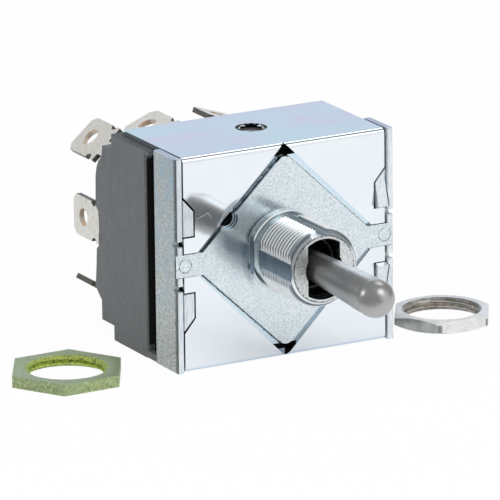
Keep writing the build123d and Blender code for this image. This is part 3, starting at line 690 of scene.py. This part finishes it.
def turned_rings(s, color, roughness):
    """Fine turned rings along Y: sets roughness and bump, and gives the shaded colour."""
    rings = s.noise(0.12, stretch=(0.05, 1, 0.05))
    s.roughness(s.span(s.noise(1.5), roughness - 0.05, roughness + 0.07))
    s.bump((rings, 0.12, 0.006), (s.noise(0.1), 0.10, 0.004))
    dark = tuple(0.9 * c for c in color)
    light = tuple(1.1 * c for c in color)
    return s.mix(s.span(rings, 0.0, 1.0), dark, light)


def lever_steel():
    """Turned lever, lighter at its ball, with a painted highlight along the top of its shank."""
    s = Shader("lever_steel", LEVER_COLOR, 0.85, 0.31)
    y = s.xyz[1]
    color = turned_rings(s, LEVER_COLOR, 0.31)
    color = s.mix(s.before(y, LEVER_BALL_Y, 3.0), color, tuple(1.35 * c for c in LEVER_COLOR))
    # A painted highlight along the top of the shank, up to the ball.
    shank_highlight = s.span(s.facing(LEVER_HIGHLIGHT_SIDE), 0.0, 1.0, 0.87, 0.97)
    shank_highlight = s.all_of(shank_highlight, s.past(y, LEVER_BALL_Y - 1, 1.5))
    s.color(s.mix(shank_highlight, color, (0.92, 0.96, 1.0)))
    return s.material


def plain_steel():
    """Drawn steel of the lever pin, plungers and springs."""
    s = Shader("plain_steel", (0.45, 0.45, 0.45), 1.0, 0.30)
    s.color(turned_rings(s, (0.45, 0.45, 0.45), 0.30))
    return s.material


def contact_metal(name, color, other, roughness):
    """Metal of contacts, with a soft, slightly cloudy finish between two colours."""
    s = Shader(name, color, 1.0, roughness)
    s.color(s.mix(s.span(s.noise(2.2, detail=4.0), 0.0, 1.0), color, other))
    s.roughness(s.span(s.noise(0.8), roughness - 0.06, roughness + 0.08))
    s.bump((s.noise(0.25, detail=4.0), 0.2, 0.008))
    return s.material


def tab_metal(name, hole_mm, axis):
    """Tinned brass of one tab: matt white, dark sheared edges, copper at the rim of its hole."""
    s = Shader(name, (0.86, 0.83, 0.77), 0.3, 0.36)
    plain = s.ramp(s.noise(0.5, detail=5.0), [(0.32, (0.76, 0.73, 0.66)), (0.60, (0.92, 0.885, 0.82))])
    radius = s.from_line(hole_mm, axis)
    edge = s.span(s.facing(axis), 1.0, 0.0, 0.45, 0.65)
    sheared = s.all_of(edge, s.past(radius, TAB_HOLE_RADIUS + TAB_EDGE_GAP))
    color = s.mix(sheared, plain, (0.16, 0.15, 0.13))
    near, far = ((TAB_HOLE_RADIUS + gap) * MM for gap in TAB_RIM)
    rim = s.span(s.ragged(radius, 0.08, 0.6), 1.0, 0.0, near, far)
    wear_and_glints = s.all_of(rim, s.span(s.noise(1.1), 0.1, 1.0, 0.42, 0.58))
    s.color(s.mix(wear_and_glints, color, (0.75, 0.52, 0.32)))
    s.roughness(s.span(s.noise(0.8), 0.28, 0.42))
    s.bump((s.noise(0.25, detail=4.0), 0.2, 0.008))
    return s.material


# Materials of the nuts

def nut_middle(node):
    """Point on the upright axis of a nut that lies flat."""
    low, high = box_mm(node)
    return (low.x + high.x) / 2, (low.y + high.y) / 2, 0


def green_chromate():
    """Green-yellow chromate: greyer on top, bright yellow-green and mottled in the bore."""
    s = Shader("green_chromate", (0.30, 0.36, 0.14), 0.5, 0.40)
    nut = "panel_nut_chromate"
    mottle = s.noise(0.45, detail=6.0, rough=0.7)
    base = s.ramp(mottle, [
        (0.34, (0.14, 0.19, 0.09)),
        (0.46, (0.36, 0.44, 0.20)),
        (0.56, (0.47, 0.56, 0.26)),
        (0.66, (0.68, 0.74, 0.50)),
    ])
    base = s.mix(s.span(s.noise(3.5, detail=4.0), 0.0, 0.5), base, (0.42, 0.50, 0.30))
    upper = s.past(s.xyz[2], box_mm(nut)[1].z - 0.05, 0.03)
    base = s.mix(s.all_of(upper, 0.45), base, (0.40, 0.47, 0.36))
    inner = s.ramp(mottle, [
        (0.38, (0.10, 0.13, 0.04)),
        (0.46, (0.44, 0.55, 0.10)),
        (0.66, (0.70, 0.80, 0.24)),
    ])
    near = s.before(s.from_line(nut_middle(nut), ALONG_Z), NUT_THREAD_ROOT + 0.12)
    s.color(s.mix(s.all_of(near, s.inverse(upper)), base, inner))
    s.roughness(s.span(mottle, 0.32, 0.52))
    s.bump((mottle, 0.30, 0.02), (s.noise(0.15), 0.2, 0.01))
    return s.material


def nickel_plate():
    """Matt nickel: pale on top, painted shade on one pair of flats and at the corners, warm in the
    bore.
    """
    s = Shader("nickel_plate", (0.86, 0.85, 0.83), 1.0, 0.30)
    radius = s.from_line(nut_middle("panel_nut_nickel"), ALONG_Z)
    upright = s.facing(ALONG_Z)
    clouds = s.noise(1.5, detail=4.0)
    base = s.ramp(clouds, [(0.34, (0.84, 0.83, 0.80)), (0.62, (0.95, 0.94, 0.93))])
    inner = s.ramp(s.noise(0.6, stretch=(0.4, 0.4, 1)), [
        (0.35, (0.40, 0.37, 0.33)),
        (0.65, (0.70, 0.67, 0.62)),
    ])
    color = s.mix(s.before(radius, NUT_THREAD_ROOT + 0.05), base, inner)
    side = s.inverse(s.span(upright, 0.0, 1.0, 0.05, 0.15))
    # One pair of flats is painted grey, a painted shade.
    shaded_flats = s.all_of(side, s.span(s.facing(NICKEL_SHADED_SIDE), 0.0, 1.0, 0.90, 0.97))
    grey = s.ramp(clouds, [(0.3, (0.40, 0.42, 0.40)), (0.7, (0.56, 0.58, 0.55))])
    color = s.mix(shaded_flats, color, grey)
    # The corners are painted dark, a painted shade.
    corner = s.all_of(side, s.past(radius, NICKEL_CORNER_RADIUS, 0.03))
    s.color(s.mix(corner, color, (0.16, 0.16, 0.14)))
    upper = s.all_of(s.span(upright, 0.0, 1.0, 0.3, 0.6), s.past(radius, NUT_THREAD_ROOT))
    s.metallic(s.blend(upper, 1.0, 0.40))
    s.roughness(s.span(s.noise(0.8), 0.24, 0.36))
    s.bump((s.noise(0.6, detail=2.0), 0.04, 0.006))
    return s.material


MATERIALS = {
    "bright_cover": bright_cover(),
    "plated_side": plated_side(),
    "zinc_casting": zinc_casting(),
    "black_moulding": black_moulding(),
    "natural_moulding": natural_moulding(),
    "grey_moulding": grey_moulding(),
    "lever_steel": lever_steel(),
    "plain_steel": plain_steel(),
    "screw_steel": screw_steel(),
    "silver_contact": contact_metal("silver_contact", (0.85, 0.85, 0.82), (0.85, 0.85, 0.82), 0.25),
    "contact_copper": contact_metal("contact_copper", (0.75, 0.42, 0.25), (0.675, 0.336, 0.20), 0.30),
    "green_chromate": green_chromate(),
    "nickel_plate": nickel_plate(),
}


def dress(piece, material):
    """Give a piece one material."""
    piece.data.materials.clear()
    piece.data.materials.append(material)


def dress_tab(node):
    """Give a terminal its own copy of the tab's metal, with copper showing through wear round its hole.
    """
    points = [nodes[node].matrix_world @ v.co for v in nodes[node].data.vertices]
    ends = [p / MM for p in points if p.y > (TAB_HOLE_Y + TAB_HOLE_RADIUS) * MM]
    low = Vector(min(p[i] for p in ends) for i in range(3))
    high = Vector(max(p[i] for p in ends) for i in range(3))
    middle = (low + high) / 2
    far = max(ends, key=lambda p: (p.x - middle.x) ** 2 + (p.z - middle.z) ** 2)
    across = Vector((far.x - middle.x, 0, far.z - middle.z)).normalized()
    hole = (middle.x, TAB_HOLE_Y, middle.z)
    dress(nodes[node], tab_metal("metal_" + node, hole, across.cross(Vector(ALONG_Y))))


# Threads

def helix_cutter(middle, turn, start, end, root, outer, root_land, outer_land):
    """Closed spiral bar that cuts a thread: its section is wide at outer and narrow at root."""
    steps = int((end - start) / THREAD_PITCH * THREAD_STEPS)
    half_outer, half_root = outer_land / 2, root_land / 2
    section = ((outer, -half_outer), (outer, half_outer), (root, half_root), (root, -half_root))
    points = []
    for step in range(steps + 1):
        angle = 2 * pi * step / THREAD_STEPS
        along = start + THREAD_PITCH * step / THREAD_STEPS
        for radius, shift in section:
            local = Vector((radius * cos(angle), radius * sin(angle), along + shift))
            points.append(turn @ local + Vector(middle))
    faces = [(3, 2, 1, 0)]
    for step in range(steps):
        a = 4 * step
        for side in range(4):
            other = (side + 1) % 4
            faces.append((a + side, a + other, a + 4 + other, a + 4 + side))
    last = 4 * steps
    faces.append((last, last + 1, last + 2, last + 3))
    return closed_object("thread_cutter", points, faces)


def cut_node(node, cutter, name, slot):
    """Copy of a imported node's mesh with a cutter taken out of it; it replaces the node."""
    piece = new_object(name, nodes[node].data.copy())
    weld = bmesh.new()
    weld.from_mesh(piece.data)
    bmesh.ops.remove_doubles(weld, verts=weld.verts, dist=WELD_GAP * MM)
    flat = radians(FLAT_ANGLE_DEG)
    bmesh.ops.dissolve_limit(weld, angle_limit=flat, verts=weld.verts, edges=weld.edges)
    weld.to_mesh(piece.data)
    weld.free()
    change = piece.modifiers.new("thread", "BOOLEAN")
    change.operation = "DIFFERENCE"
    change.solver = "EXACT"
    change.object = cutter
    view = bpy.context.evaluated_depsgraph_get()
    cut_mesh = bpy.data.meshes.new_from_object(piece.evaluated_get(view))
    piece.modifiers.clear()
    piece.data = cut_mesh
    bpy.data.objects.remove(cutter)
    smooth(piece.data)
    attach(piece, "root")
    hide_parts(node)
    dress(piece, MATERIALS[slot])


def threaded_casting():
    """The bushing plate with the thread cut into its barrel."""
    along_minus_y = Matrix(((1, 0, 0), (0, 0, -1), (0, 1, 0)))
    slope = (THREAD_PITCH - THREAD_OUTER_LAND - THREAD_ROOT_LAND) / (THREAD_RADIUS - THREAD_ROOT)
    outer_land = THREAD_PITCH - THREAD_OUTER_LAND + CUTTER_REACH * slope
    cutter = helix_cutter(
        ORIGIN, along_minus_y, -THREAD_START_Y, -BUSHING_END_Y + THREAD_PITCH,
        THREAD_ROOT, THREAD_RADIUS + CUTTER_REACH, THREAD_ROOT_LAND, outer_land,
    )
    cut_node("bushing_plate", cutter, "bushing_casting", "zinc_casting")


def threaded_nut(node, slot):
    """A panel nut with the thread cut into its bore."""
    low, high = box_mm(node)
    cutter = helix_cutter(
        nut_middle(node), Matrix.Identity(3), low.z - THREAD_PITCH, high.z + THREAD_PITCH,
        NUT_THREAD_ROOT, NUT_BORE - CUTTER_REACH, THREAD_ROOT_LAND, THREAD_PITCH * NUT_GROOVE_SHARE,
    )
    cut_node(node, cutter, node + "_threaded", slot)


# Floor, light and camera

def floor_white():
    """White floor: a glow where it is seen, in part a glow where it is mirrored, matt for the rest."""
    material = bpy.data.materials.new("floor_white")
    material.use_nodes = True
    tree = material.node_tree
    tree.nodes.clear()
    place = tree.nodes.new("ShaderNodeTexCoord")
    split = tree.nodes.new("ShaderNodeSeparateXYZ")
    tree.links.new(place.outputs["Object"], split.inputs[0])
    along = math_node(tree, "MULTIPLY_ADD", split.outputs["Y"], FLOOR_DIM_SLOPE, split.outputs["X"])
    low, high = (edge * MM for edge in FLOOR_DIM_PLACE)
    fall = map_range(tree, along, FLOOR_DIM_LEVEL, 1.0, low, high)
    rays = tree.nodes.new("ShaderNodeLightPath").outputs
    mirrored = rays["Is Glossy Ray"]
    level = math_node(tree, "MAXIMUM", fall, math_node(tree, "SUBTRACT", 1.0, mirrored))
    glow = tree.nodes.new("ShaderNodeEmission")
    tree.links.new(level, glow.inputs["Strength"])
    matt = tree.nodes.new("ShaderNodeBsdfDiffuse")
    tree.links.new(vector_node(tree, "SCALE", FLOOR_COLOR, level), matt.inputs["Color"])
    seen = math_node(tree, "MULTIPLY", rays["Is Camera Ray"], FLOOR_SEEN)
    share = math_node(tree, "MAXIMUM", seen, math_node(tree, "MULTIPLY", mirrored, FLOOR_MIRRORED))
    blend = tree.nodes.new("ShaderNodeMixShader")
    tree.links.new(share, blend.inputs["Fac"])
    tree.links.new(matt.outputs[0], blend.inputs[1])
    tree.links.new(glow.outputs[0], blend.inputs[2])
    out = tree.nodes.new("ShaderNodeOutputMaterial")
    tree.links.new(blend.outputs[0], out.inputs["Surface"])
    return material


def floor():
    """Square floor that the part lies on."""
    z = cad_box[0][2]
    signs = ((-1, -1), (1, -1), (1, 1), (-1, 1))
    corners = [(x * FLOOR_REACH_M, y * FLOOR_REACH_M, z) for x, y in signs]
    mesh = bpy.data.meshes.new("floor")
    mesh.from_pydata(corners, [], [(0, 1, 2, 3)])
    ground = new_object("floor", mesh)
    dress(ground, floor_white())


def surroundings():
    """Light of the room: a plain level with soft boxes in a few directions."""
    world = bpy.data.worlds.new("room")
    bpy.context.scene.world = world
    world.use_nodes = True
    tree = world.node_tree
    toward = tree.nodes.new("ShaderNodeTexCoord").outputs["Generated"]
    total = ROOM_COLOR
    for direction, full_deg, none_deg, color in SOFT_BOXES:
        near = vector_node(tree, "DOT_PRODUCT", toward, Vector(direction).normalized())
        full, none = cos(radians(full_deg)), cos(radians(none_deg))
        fade = map_range(tree, near, 0.0, 1.0, none, full, "SMOOTHSTEP")
        total = vector_node(tree, "ADD", total, vector_node(tree, "SCALE", color, fade))
    back = tree.nodes["Background"]
    tree.links.new(total, back.inputs["Color"])


def lamp():
    """Soft square lamp overhead, aimed at the origin and left out of mirror images."""
    data = bpy.data.lights.new("overhead", "AREA")
    data.size = LAMP_SIDE * MM
    data.energy = LAMP_WATTS
    overhead = new_object("overhead", data)
    place = Vector(LAMP_PLACE) * MM
    overhead.location = place
    overhead.rotation_euler = (-place).to_track_quat("-Z", "Y").to_euler()
    overhead.visible_glossy = False


def camera():
    """Camera at the photograph's angle: a long lens looking down from the left front."""
    turn = radians(-28.452)
    drop = radians(16.0)
    roll = radians(-0.632)
    distance = 958.716
    shift_right = 5.2
    shift_up = -0.014
    forward = Vector((-sin(turn) * cos(drop), cos(turn) * cos(drop), -sin(drop)))
    level = Vector((cos(turn), sin(turn), 0))
    upright = level.cross(forward)
    right = level * cos(roll) + upright * sin(roll)
    up = upright * cos(roll) - level * sin(roll)
    place = -forward * distance - right * shift_right - up * shift_up
    place += Vector((0, COVER_FRONT_Y, 0))
    data = bpy.data.cameras.new("camera")
    data.sensor_width = 36
    data.lens = 468
    data.clip_start = 0.01
    data.clip_end = 20
    view = new_object("camera", data)
    turned = Matrix((right, up, -forward)).transposed().to_4x4()
    view.matrix_world = Matrix.Translation(place * MM) @ turned
    bpy.context.scene.camera = view


for part in frame["record"]["subparts"]:
    if part["node"].startswith("terminal"):
        dress_tab(part["node"])
    else:
        dress(nodes[part["node"]], MATERIALS[part["material_slot"]])
threaded_casting()
threaded_nut("panel_nut_chromate", "green_chromate")
threaded_nut("panel_nut_nickel", "nickel_plate")
floor()
surroundings()
lamp()
camera()
bpy.context.scene.view_settings.view_transform = "Standard"
